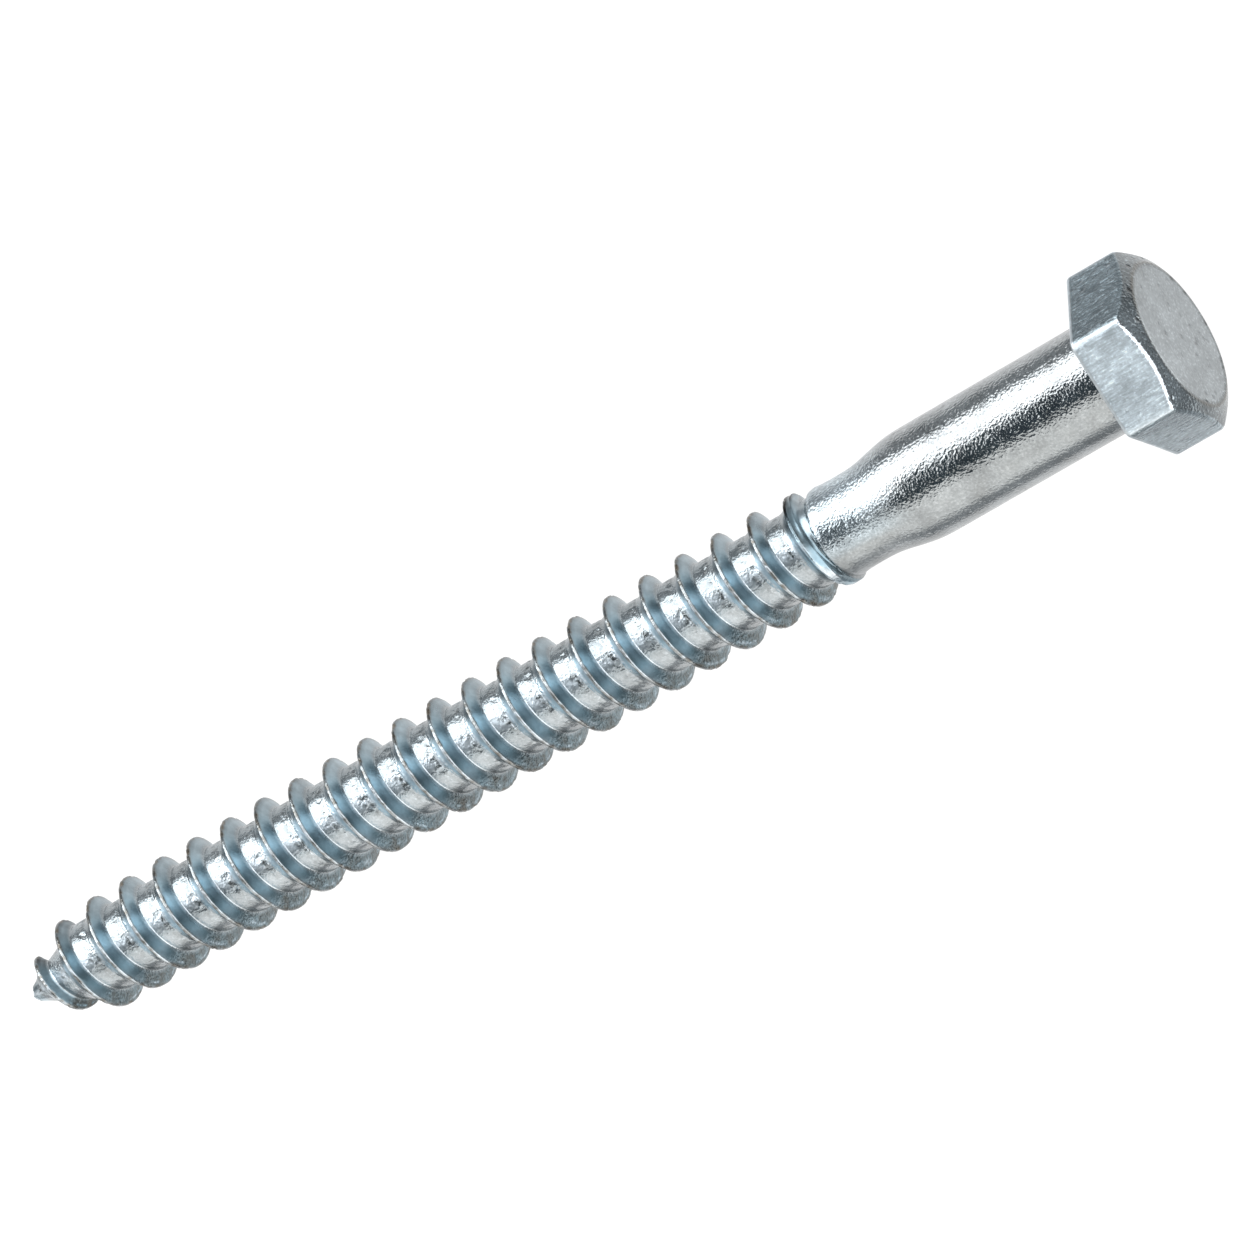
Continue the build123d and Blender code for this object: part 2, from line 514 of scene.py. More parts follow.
    def build(self, bm: bmesh.types.BMesh) -> None:
        """Spin one turn of the thread, repeat it by whole pitches, cut both ends and shape it."""
        start = self.point_end - self.pitch - 0.4
        base = self.top_crest + self.pitch * math.floor((start - self.top_crest) / self.pitch)
        chain = [bm.verts.new((base + row, 0.0, 5.0)) for row in self.stations()]
        chain.append(bm.verts.new((chain[0].co.x + self.pitch, 0.0, 5.0)))
        edges = [bm.edges.new(pair) for pair in zip(chain, chain[1:])]
        bmesh.ops.spin(bm, geom=chain + edges, cent=(0, 0, 0), axis=(1, 0, 0), angle=math.tau,
                       dvec=(self.pitch / self.steps, 0, 0), steps=self.steps, use_merge=False)
        one_turn = bm.verts[:] + bm.edges[:] + bm.faces[:]
        for k in range(1, math.ceil((self.join - start) / self.pitch) + 3):
            copy = bmesh.ops.duplicate(bm, geom=one_turn)["geom"]
            moved = [v for v in copy if isinstance(v, bmesh.types.BMVert)]
            bmesh.ops.translate(bm, verts=moved, vec=(k * self.pitch, 0, 0))
        bmesh.ops.remove_doubles(bm, verts=bm.verts[:], dist=0.002)
        cuts = [(self.point_end, -1), (self.join, 1), (-113.25, 0), (-112.8, 0), (self.rim - 0.09, 0),
                (self.rim, 0), (self.rim + 0.1, 0), (self.rim + 0.35, 0)]
        for place, clear in cuts:
            bmesh.ops.bisect_plane(bm, geom=bm.verts[:] + bm.edges[:] + bm.faces[:], dist=0.0005,
                                   plane_co=(place, 0, 0), plane_no=(1, 0, 0),
                                   clear_outer=clear > 0, clear_inner=clear < 0)
        loose = [v for v in bm.verts if not v.link_faces]
        bmesh.ops.delete(bm, geom=loose, context="VERTS")
        for v in bm.verts:
            angle = math.atan2(-v.co.y, v.co.z)
            r = self.radius(v.co.x, angle)
            v.co.y, v.co.z = -r * math.sin(angle), r * math.cos(angle)


@dataclass
class Shank:
    """The necked-down blank, the taper and the plain shank. Sizes in mm."""

    start: float = -26.6
    end: float = -0.75
    radius_course: Sequence[tuple[float, float]] = (
        (-28.0, 3.90), (-25.6, 3.89), (-24.9, 3.90), (-24.2, 3.955), (-23.4, 4.08), (-22.4, 4.30),
        (-21.3, 4.52), (-20.5, 4.64), (-19.7, 4.69), (-19.0, 4.70), (0.0, 4.70),
    )
    spacing: float = 0.42
    reach: float = 0.5
    pattern_radius: float = 4.7
    wave: Grit = Grit(3.2, 4.4)
    ripple: Grit = Grit(0.9, 7.1)
    dents: Grit = Grit(1.15, 9.9)
    cloud: Grit = Grit(1.5, 3.7)

    def radius(self, x: float) -> float:
        """Radius of the plain part, smoothed over its bends."""
        parts = [course(self.radius_course, x + self.reach * k / 3.0) for k in range(-3, 4)]
        return sum(parts) / len(parts)

    def skin(self, x: float, angle: float) -> float:
        """Radius with the blank's slight unevenness and small handling dents."""
        y, z = on_ring(angle, self.pattern_radius)
        wave = 0.008 * self.wave.at(x, y, z) + 0.002 * self.ripple.at(x, y, z)
        dent = 0.05 * max(0.0, self.dents.at(x, y, z) - 0.42)
        return self.radius(x) + wave - dent

    def stations(self) -> list[float]:
        """Rings from the thread to just below the head."""
        length = self.end - self.start
        count = round(length / self.spacing)
        return [self.start + length * k / count for k in range(count + 1)]

    def look(self, at: Vector, from_rim: float) -> Look:
        """Mix the finish there: grained steel, a painted highlight that makes the upper neck paler and
        bluer, painted shade along both sides, browned below.

        Args:
            at: The point, in the screw's own millimetres.
            from_rim: How far it lies from the end of the thread.

        Returns:
            The finish.
        """
        degrees = math.degrees(math.atan2(-at.y, at.z))
        neck = 1.0 - rise(at.x, -25.0, 6.0)
        low = rise(degrees, 12.0, 15.0)
        # Painted highlight on the upper neck, paler and bluer
        lit_neck = neck * (1.0 - low)
        cloud = max(0.0, self.cloud.at(at.x, at.y, at.z) + 0.1)
        # Painted shade along both sides of the shank
        side_shade = rise(abs(degrees + 5.0), 54.0, 8.0)
        return Look(
            grain=(0.5 + 0.35 * ease(from_rim / 1.5) + 0.3 * neck) * (1.0 - 0.35 * low),
            stain_and_shade=0.16 * cloud * low, blue=0.35 * lit_neck, matte=0.5 * neck + 0.3 * low,
            pale=0.45 * lit_neck - 0.25 * side_shade, streaks=0.05, knocks=0.3)


@dataclass
class Head:
    """The cold-forged hexagon head with its washer-side edge and chamfered crown. Sizes in mm."""

    across_flats: float = 14.57
    height: float = 5.62
    corner_rounding: float = 1.03
    crown_diameter: float = 12.75
    chamfer_angle: float = 30.0
    flare: float = 0.42
    shank_radius: float = 4.70
    edge: float = 0.27
    crown_edge: float = 0.14
    first_corner: float = 30.0
    soft: Grit = Grit(2.4, 1.1)
    fine: Grit = Grit(0.8, 2.9)
    dents: Grit = Grit(0.85, 12.3)

    def outline(self, angle: float) -> float:
        """Radius of the hexagon at an angle from the top, with its corners rounded."""
        sector = math.radians(60.0)
        off_flat = (angle - math.radians(self.first_corner) + sector / 2) % sector - sector / 2
        to_corner = abs(off_flat)
        half = self.across_flats / 2.0
        from_flat = sector / 2 - to_corner
        flat = half / math.cos(from_flat)
        centre = (half - self.corner_rounding) / math.cos(math.radians(30.0))
        across = centre * math.sin(to_corner)
        if across < self.corner_rounding:
            arc = centre * math.cos(to_corner) + math.sqrt(self.corner_rounding ** 2 - across ** 2)
            tangent = math.atan2(self.corner_rounding * 0.5,
                                 centre + self.corner_rounding * math.cos(math.radians(30.0)))
            if to_corner < tangent:
                return arc
        return flat

    def angles(self) -> list[float]:
        """Angles of the columns: close together round each corner, wide across each flat."""
        centre = (self.across_flats / 2 - self.corner_rounding) / math.cos(math.radians(30.0))
        tangent = math.degrees(math.atan2(self.corner_rounding * 0.5,
                                          centre + self.corner_rounding * 0.866))
        corner = [-tangent + 2 * tangent * k / 8 for k in range(9)]
        span = 30.0 - tangent
        flat = [span * math.sin(math.radians(90.0) * k / 8) for k in range(1, 8)]
        right = [30.0 - value for value in reversed(flat)]
        sextant = corner + right + [30.0] + [60.0 - value for value in reversed(right)]
        whole = [self.first_corner + 60.0 * side + value for side in range(6) for value in sextant]
        return [math.radians(value) for value in whole]

    def shoulder(self, angle: float) -> float:
        """Station where a flat or a corner meets the chamfer."""
        slope = math.tan(math.radians(self.chamfer_angle))
        return self.height - (self.outline(angle) - self.crown_diameter / 2) * slope

    def section(self, angle: float) -> list[tuple[float, float]]:
        """Outline of the head in the plane at an angle round the axis.

        Args:
            angle: Angle from the top, in radians.

        Returns:
            Station and radius of each ring, from the shank to the middle of the crown.
        """
        side = self.outline(angle)
        crown, shoulder = self.crown_diameter / 2.0, self.shoulder(angle)
        edge, top, neck = self.edge, self.crown_edge, self.shank_radius
        rings = [(-0.42, neck + 0.03), (-0.2, neck + 0.12), (-0.05, neck + 0.3)]
        rings += [(0.0, neck + self.flare), (0.0, neck + self.flare + 0.5), (0.0, side - edge - 0.12)]
        rings += self.bend((0.0, side - edge), (0.0, side), (edge, side))
        rings += [(edge + 0.12, side)]
        rings += [(edge + (shoulder - edge) * k, side) for k in (0.25, 0.45, 0.65, 0.82)]
        rings += [(shoulder - edge - 0.1, side)]
        slant = math.radians(self.chamfer_angle)
        fall, inward = math.sin(slant), math.cos(slant)
        rings += self.bend((shoulder - edge, side), (shoulder, side),
                           (shoulder + edge * fall, side - edge * inward))
        length = (side - crown) / inward
        for k in (0.15, 0.5, 0.85):
            run = edge + (length - edge - top) * k
            rings += [(shoulder + run * fall, side - run * inward)]
        before = (self.height - top * fall, crown + top * inward)
        rings += self.bend(before, (self.height, crown), (self.height, crown - top))
        rings += [(self.height, crown - top - 0.1)]
        shares = (0.93, 0.84, 0.75, 0.66, 0.57, 0.48, 0.39, 0.3, 0.2, 0.1)
        rings += [(self.height, crown * k) for k in shares]
        return rings

    @staticmethod
    def bend(a: tuple[float, float], b: tuple[float, float],
             c: tuple[float, float]) -> list[tuple[float, float]]:
        """Four points of a small rounding from a to c, drawn towards the sharp corner b."""
        found = []
        for t in (0.0, 0.33, 0.67, 1.0):
            p, q, r = (1 - t) ** 2, 2 * t * (1 - t), t * t
            found.append((p * a[0] + q * b[0] + r * c[0], p * a[1] + q * b[1] + r * c[1]))
        return found

    def wear(self, x: float, y: float, z: float) -> float:
        """How far the skin is pushed in at a point by handling and barrel plating."""
        soft = 0.012 * self.soft.at(x, y, z) + 0.006 * self.fine.at(x, y, z)
        dent = 0.10 * max(0.0, self.dents.at(x, y, z) - 0.40)
        return soft - dent - 0.018

    def zone(self, x: float, radius: float, angle: float) -> Zone:
        """Tell which part of the head a point above the bearing face is on.

        Args:
            x: Station along the axis.
            radius: Distance from the axis.
            angle: Angle from the top, in radians.

        Returns:
            The zone.
        """
        if self.outline(angle) - radius > 0.22:
            return Zone.CHAMFER
        if x < self.edge + 0.02:
            return Zone.BEARING_EDGE
        degrees = math.degrees(angle)
        if abs((degrees - self.first_corner + 30.0) % 60.0 - 30.0) < 0.6:
            return Zone.CORNER
        flat = round(degrees / 60.0) % 6
        # Only the top flat's edge to the chamfer gets the painted highlight
        if flat == 0 and x > self.shoulder(angle) - self.edge + 0.02:
            return Zone.SHOULDER
        return {0: Zone.TOP_FLAT, 1: Zone.NEXT_FLAT}.get(flat, Zone.FLAT)

    def chamfer_look(self, radius: float, degrees: float) -> Look:
        """Finish of the chamfer, cut on a lathe: painted shade towards its ends and in a band on each
        side, browned a little towards its ends and at the crown.
        """
        ring = bell(radius, self.crown_diameter / 2, 0.16)
        # Painted shade towards the ends of the chamfer and in a band on each side
        end = rise(abs(degrees), 38.0, 22.0)
        side_band_shade = bell(abs(degrees + 2.0), 41.0, 9.0)
        return Look(grain=1.0, blue=0.25, stain_and_shade=0.45 * ring + 0.08 * end,
                    pale=-0.6 * end - 0.45 * side_band_shade, knocks=1.8)


@dataclass
class LagScrew:
    """The whole screw, made as one closed skin."""

    thread: Thread = field(default_factory=Thread)
    shank: Shank = field(default_factory=Shank)
    head: Head = field(default_factory=Head)
    shank_mount: float = 9.8
    end_radius: float = 0.62
    torn: Grit = Grit(0.3, 2.0)

    def build(self, lie: Lie) -> bpy.types.Object:
        """Make the skin and lay it down.

        Args:
            lie: Where the screw lies.

        Returns:
            The finished object, at the origin, in the row frame.
        """
        bm = bmesh.new()
        self.thread.build(bm)
        self.close_point(bm)
        thread_end = [e for e in bm.edges if e.is_boundary]
        log.info("thread: %d faces", len(bm.faces))
        ring = self.plain_part(bm)
        bmesh.ops.bridge_loops(bm, edges=thread_end + ring)
        bmesh.ops.remove_doubles(bm, verts=bm.verts[:], dist=0.0008)
        bmesh.ops.dissolve_degenerate(bm, edges=bm.edges[:], dist=0.0002)
        bmesh.ops.recalc_face_normals(bm, faces=bm.faces[:])
        looks = [self.look(v.co) for v in bm.verts]
        bmesh.ops.transform(bm, matrix=lie.matrix(), verts=bm.verts[:])
        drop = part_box(CAD_NODE)[0].z - min(v.co.z for v in bm.verts)
        bmesh.ops.translate(bm, verts=bm.verts[:], vec=(0, 0, drop))
        open_edges = sum(1 for e in bm.edges if not e.is_manifold)
        log.info("screw: %d triangles, %d open edges, dropped %.4f mm",
                 sum(len(f.verts) - 2 for f in bm.faces), open_edges, drop / MM)
        thing = place("zinc_plated_lag_screw", bm)
        thing.data.shade_smooth()
        self.paint(thing.data, looks)
        return thing

    def close_point(self, bm: bmesh.types.BMesh) -> None:
        """Close the blunt broken end of the point."""
        end = self.thread.point_end
        loop = [e for e in bm.edges if e.is_boundary and max(v.co.x for v in e.verts) < end + 0.3]
        for share, push in ((0.82, -0.015), (0.55, 0.03), (0.28, 0.02)):
            made = bmesh.ops.extrude_edge_only(bm, edges=loop)["geom"]
            verts = [g for g in made if isinstance(g, bmesh.types.BMVert)]
            loop = [g for g in made if isinstance(g, bmesh.types.BMEdge) and g.is_boundary]
            for v in verts:
                rough = 1.0 + 0.12 * Grit(0.4, share).at(v.co.x, v.co.y, v.co.z)
                flat = Vector((0.0, v.co.y, v.co.z)).normalized() * self.end_radius * share * rough
                shift = push + 0.05 * self.torn.at(v.co.y, v.co.z, share)
                v.co = Vector((end + 0.03 + shift, flat.y, flat.z))
        verts = list(dict.fromkeys(v for e in loop for v in e.verts))
        bmesh.ops.pointmerge(bm, verts=verts, merge_co=(end + 0.06, 0.0, 0.0))
        for v in bm.verts:
            if v.co.x < end + 0.25:
                v.co.x += 0.40 * clamp(v.co.y + 0.1) + 0.10 * clamp(-v.co.y - 0.25)

    def plain_part(self, bm: bmesh.types.BMesh) -> list[bmesh.types.BMEdge]:
        """Draw the neck, shank and head out of one ring.

        Args:
            bm: The mesh to add to.

        Returns:
            The edges of the first ring, which joins the thread.
        """
        head = self.head
        angles = head.angles()
        made = bmesh.ops.create_circle(bm, cap_ends=False, radius=1.0, segments=len(angles))["verts"]
        order = self.walk(made)
        sections = [head.section(a) for a in angles]
        xs = self.shank.stations()
        first = list(dict.fromkeys(e for v in made for e in v.link_edges))
        for v, angle in zip(order, angles):
            self.put(v, xs[0], self.shank.skin(xs[0], angle), angle)
        edges = first
        rows = [[(x, self.shank.skin(x, a)) for a in angles] for x in xs[1:]]
        rows += [[s[k] for s in sections] for k in range(len(sections[0]))]
        for row in rows:
            grown = bmesh.ops.extrude_edge_only(bm, edges=edges)["geom"]
            new = {g for g in grown if isinstance(g, bmesh.types.BMVert)}
            edges = [g for g in grown if isinstance(g, bmesh.types.BMEdge) and g.is_boundary]
            order = [next(e.other_vert(v) for e in v.link_edges if e.other_vert(v) in new)
                     for v in order]
            for v, (x, r), angle in zip(order, row, angles):
                self.put(v, x, r, angle)
                if x > 0.0:
                    self.dent(v, x, r, angle)
        bmesh.ops.pointmerge(bm, verts=order, merge_co=(head.height, 0.0, 0.0))
        return first

    def dent(self, v: bmesh.types.BMVert, x: float, r: float, angle: float) -> None:
        """Push a head vertex in where it has been knocked."""
        push = self.head.wear(v.co.x, v.co.y, v.co.z)
        crown = self.head.crown_diameter / 2
        if r < crown - 0.3:
            v.co.x += push
        elif r > crown + 0.3:
            self.put(v, x, r + push, angle)

    @staticmethod
    def put(v: bmesh.types.BMVert, x: float, r: float, angle: float) -> None:
        """Place a vertex by station, radius and angle from the top."""
        v.co = Vector((x, -r * math.sin(angle), r * math.cos(angle)))

    @staticmethod
    def walk(verts: Iterable[bmesh.types.BMVert]) -> list[bmesh.types.BMVert]:
        """The vertices of a closed ring in order."""
        ring = list(verts)
        found, last = [ring[0]], None
        while len(found) < len(ring):
            here = found[-1]
            onward = next(e.other_vert(here) for e in here.link_edges
                          if e.other_vert(here) is not last)
            last = here
            found.append(onward)
        return found

    def zone(self, at: Vector) -> Zone:
        """Tell which part of the skin a point is on.

        Args:
            at: The point, in the screw's own millimetres.

        Returns:
            The zone.
        """
        radius = math.hypot(at.y, at.z)
        if at.x < self.thread.rim - 0.2:
            return Zone.THREAD
        if at.x < self.thread.rim + 0.02:
            return Zone.RIM
        if at.x < -0.5:
            return Zone.SHANK
        if radius < self.head.crown_diameter / 2 - 0.25 and at.x > self.head.height - 0.3:
            return Zone.CROWN
        if at.x < 0.02:
            return Zone.BEARING_FACE
        return self.head.zone(at.x, radius, math.atan2(-at.y, at.z))

    def look(self, at: Vector) -> Look:
        """Finish of the skin at a point in the screw's own millimetres."""
        zone = self.zone(at)
        angle = math.atan2(-at.y, at.z)
        if zone is Zone.THREAD:
            return self.thread.look(at.x, angle)
        if zone is Zone.SHANK:
            return self.shank.look(at, at.x - self.thread.rim)
        if zone is Zone.CROWN:
            # The crown is darker as less polished zinc, with painted shade that deepens towards one side
            shaded = -0.20 - 0.025 * max(0.0, at.y)
            return Look(grain=0.7, blue=0.12, matte=0.8, pale=shaded, knocks=0.8)
        if zone is Zone.CHAMFER:
            return self.head.chamfer_look(math.hypot(at.y, at.z), math.degrees(angle))
        return EVEN_LOOKS[zone]

    @staticmethod
    def paint(mesh: bpy.types.Mesh, looks: list[Look]) -> None:
        """Keep the finish of each place on the mesh, for the material to read."""
        for name in LOOK_NAMES:
            layer = mesh.attributes.new(name, "FLOAT", "POINT")
            layer.data.foreach_set("value", [getattr(look, name) for look in looks])


def add(tree: bpy.types.NodeTree, kind: str, feeds: dict[Any, Any] | Sequence[Any] = (),
        **settings: Any) -> bpy.types.Node:
    """Add a shader node with its settings and links.

    Args:
        tree: The node tree.
        kind: The node's type name, after "ShaderNode".
        feeds: Inputs by name or number, or in order. A socket is linked, and so is a node by its
            first output in use; anything else is set.
        settings: Properties of the node.

    Returns:
        The new node.
    """
    made = tree.nodes.new("ShaderNode" + kind)
    for name, value in settings.items():
        setattr(made, name, value)
    for key, value in feeds.items() if isinstance(feeds, dict) else enumerate(feeds):
        if isinstance(value, bpy.types.Node):
            value = next(socket for socket in value.outputs if socket.enabled)
        if isinstance(value, bpy.types.NodeSocket):
            tree.links.new(value, made.inputs[key])
        else:
            made.inputs[key].default_value = value
    return made


@dataclass(frozen=True)
class BrightZincPlate:
    """Bright zinc electroplate, barrel plated over forged and rolled steel.

    A thin clear-blue metal skin: it mirrors softly, keeps the grain of the shot-clean blank on the shank,
    turns glassy blue on the flanks that the rolls have burnished, and browns where edges wear.
    Its paleness and browning also carry painted highlights and painted shade.
    """

    name: str = "bright_zinc_plated_steel"
    plain: str = "#ACB0B2"
    burnished: str = "#94ADB9"
    paler_tone_and_highlight: str = "#D3DDE4"
    brown_wear_and_shade: str = "#60584C"
    roughness: float = 0.07
    # Real grain is finer: it is drawn coarser here, since a finer one blurs into an even grey
    grain_mm: float = 0.22
    fleck_mm: float = 0.34
    patch_mm: float = 2.6
    streak_mm: float = 0.22
    streak_squeeze: float = 0.2
    knock_mm: float = 1.3
    relief_mm: float = 0.06

    def make(self, lie: Lie) -> bpy.types.Material:
        """Build the material.

        Args:
            lie: The screw's lie, so that patterns run with its axis.

        Returns:
            The material.
        """
        material = bpy.data.materials.new(self.name)
        tree = fresh_tree(material)
        amount = {name: add(tree, "Attribute", attribute_name=name).outputs["Fac"] for name in LOOK_NAMES}
        # Patterns run with the screw's own axis and are sized in mm
        spot = add(tree, "TexCoord").outputs["Object"]
        turn = math.atan2(lie.along.z, lie.along.x)
        own = add(tree, "Mapping", {"Vector": spot, "Rotation": (0.0, turn, 0.0), "Scale": (1 / MM,) * 3})
        drawn = add(tree, "Mapping", {"Vector": own, "Scale": (self.streak_squeeze, 1.0, 1.0)})
        grain, patch, fleck, streak = (
            add(tree, "TexNoise", {"Vector": space, "Scale": 1.0 / size, "Detail": detail,
                                   "Roughness": mix})
            for space, size, detail, mix in (
                (own, self.grain_mm, 1.0, 0.5), (own, self.patch_mm, 3.0, 0.55),
                (own, self.fleck_mm, 2.0, 0.6), (drawn, self.streak_mm, 3.0, 0.65)))
        dots = add(tree, "TexVoronoi", {"Vector": own, "Scale": 1.0 / self.knock_mm})
        flat = add(tree, "MapRange", (dots, 0.10, 0.26), interpolation_type="SMOOTHSTEP")
        dimple = add(tree, "Math", (1.0, flat), operation="SUBTRACT")
        dimple = add(tree, "Math", (dimple, amount["knocks"]), operation="MULTIPLY")
        # Colour of the zinc: bluer where burnished, paler where the tone is lighter and where highlights
        # are painted
        colour = add(tree, "Mix", {"Factor": amount["blue"], "A": linear(self.plain),
                                   "B": linear(self.burnished)}, data_type="RGBA")
        paler = add(tree, "Math", (amount["pale"], 0.0), operation="MAXIMUM")
        colour = add(tree, "Mix", {"Factor": paler, "A": colour, "B": linear(self.paler_tone_and_highlight)},
                     data_type="RGBA", clamp_factor=False)
        # Below 0 the paleness darkens the zinc evenly: darker tone, and painted shade
        darker = add(tree, "Math", (amount["pale"], 0.0), operation="MINIMUM")
        darker = add(tree, "Math", (darker, 0.85, 1.0), operation="MULTIPLY_ADD")
        # Tone: clouds and flecks, then grain, drawn streaks, bright scratches, sparks and knocks
        tone = add(tree, "MapRange", (patch, 0.3, 0.7, 0.79, 1.14))
        flecks = add(tree, "MapRange", (fleck, 0.3, 0.7, 0.92, 1.08))
        tone = add(tree, "Math", (tone, flecks), operation="MULTIPLY")
        marks = 0.0
        for pattern, start, end, least, most, name in (
                (grain, 0.36, 0.64, -0.14, 0.10, "grain"), (streak, 0.38, 0.62, -0.22, 0.10, "streaks"),
                (streak, 0.61, 0.68, 0.0, 0.42, "streaks"), (grain, 0.60, 0.70, 0.0, 0.4, "knocks")):
            mark = add(tree, "MapRange", (pattern, start, end, least, most))
            marks = add(tree, "Math", (mark, amount[name], marks), operation="MULTIPLY_ADD")
        marks = add(tree, "Math", (dimple, -0.30, marks), operation="MULTIPLY_ADD")
        tone = add(tree, "Math", (marks, tone, tone), operation="MULTIPLY_ADD")
        tone = add(tree, "Math", (tone, darker), operation="MULTIPLY")
        toned = add(tree, "VectorMath", {0: colour, "Scale": tone}, operation="SCALE")
        # Browned by wear, and on the lower flanks as painted shade
        browned = add(tree, "Mix", {"Factor": amount["stain_and_shade"], "A": toned, "B": linear(self.brown_wear_and_shade)},
                      data_type="RGBA")
        # Softness of the mirror, and the fine relief of grain, streaks and knocks
        rough = add(tree, "Math", (amount["matte"], 0.22, self.roughness), operation="MULTIPLY_ADD")
        rough = add(tree, "Math", (patch, 0.10, rough), operation="MULTIPLY_ADD")
        relief = add(tree, "Math", (dimple, -0.9), operation="MULTIPLY")
        for pattern, name, share in ((grain, "grain", 1.0), (streak, "streaks", 0.8)):
            level = add(tree, "Math", (pattern, 0.5), operation="SUBTRACT")
            part = add(tree, "Math", (level, amount[name]), operation="MULTIPLY")
            relief = add(tree, "Math", (part, share, relief), operation="MULTIPLY_ADD")
        bump = add(tree, "Bump", {"Height": relief, "Strength": 1.0, "Distance": self.relief_mm * MM})
        shader = add(tree, "BsdfPrincipled", {"Base Color": browned, "Metallic": 1.0, "Roughness": rough,
                                              "Normal": bump})
        add(tree, "OutputMaterial", {"Surface": shader})
        return material


@dataclass(frozen=True)
class MattWhiteTable:
    """A matt white table top: it keeps one even white, and the screw's soft shadow falls on it."""

    name: str = "matt_white_table"
    paper: str = "#858585"
    white: str = "#FFFFFF"
    glow: float = 0.84

    def make(self) -> bpy.types.Material:
        """Build the material, whose glow only shows to the camera and in mirrors."""
        material = bpy.data.materials.new(self.name)
        tree = fresh_tree(material)
        rays = add(tree, "LightPath").outputs
        seen = add(tree, "Math", (rays["Is Camera Ray"], rays["Is Glossy Ray"]), operation="MAXIMUM")
        seen = add(tree, "Math", (seen, rays["Is Transmission Ray"]), operation="MAXIMUM")
        power = add(tree, "Math", (seen, self.glow), operation="MULTIPLY")
        glow = add(tree, "Emission", {"Color": linear(self.white), "Strength": power})
        paper = add(tree, "BsdfDiffuse", {"Color": linear(self.paper)})
        add(tree, "OutputMaterial", {"Surface": add(tree, "AddShader", (glow, paper))})
        return material


@dataclass(frozen=True)
class GreyCard:
    """A plain grey card: an even tone without shine, for bright metal to mirror."""

    name: str = "dark_grey_card"
    grey: str = "#A2A6A9"

    def make(self) -> bpy.types.Material:
        """Build the material."""
        material = bpy.data.materials.new(self.name)
        tree = fresh_tree(material)
        card = add(tree, "Emission", {"Color": linear(self.grey), "Strength": 1.0})
        add(tree, "OutputMaterial", {"Surface": card})
        return material


@dataclass(frozen=True)
class Softbox:
    """A lamp that hangs along the screw.

    It stands at an angle in degrees round the screw and fills a spread of it. Its reach from the
    axis, its length and its station are in mm. A level of 1 is white. Without a station, it stands
    over the screw.
    """

    name: str
    degrees: float
    spread: float
    reach: float
    long: float
    level: float
    colour: str = "#FFFFFF"
    station: float | None = None


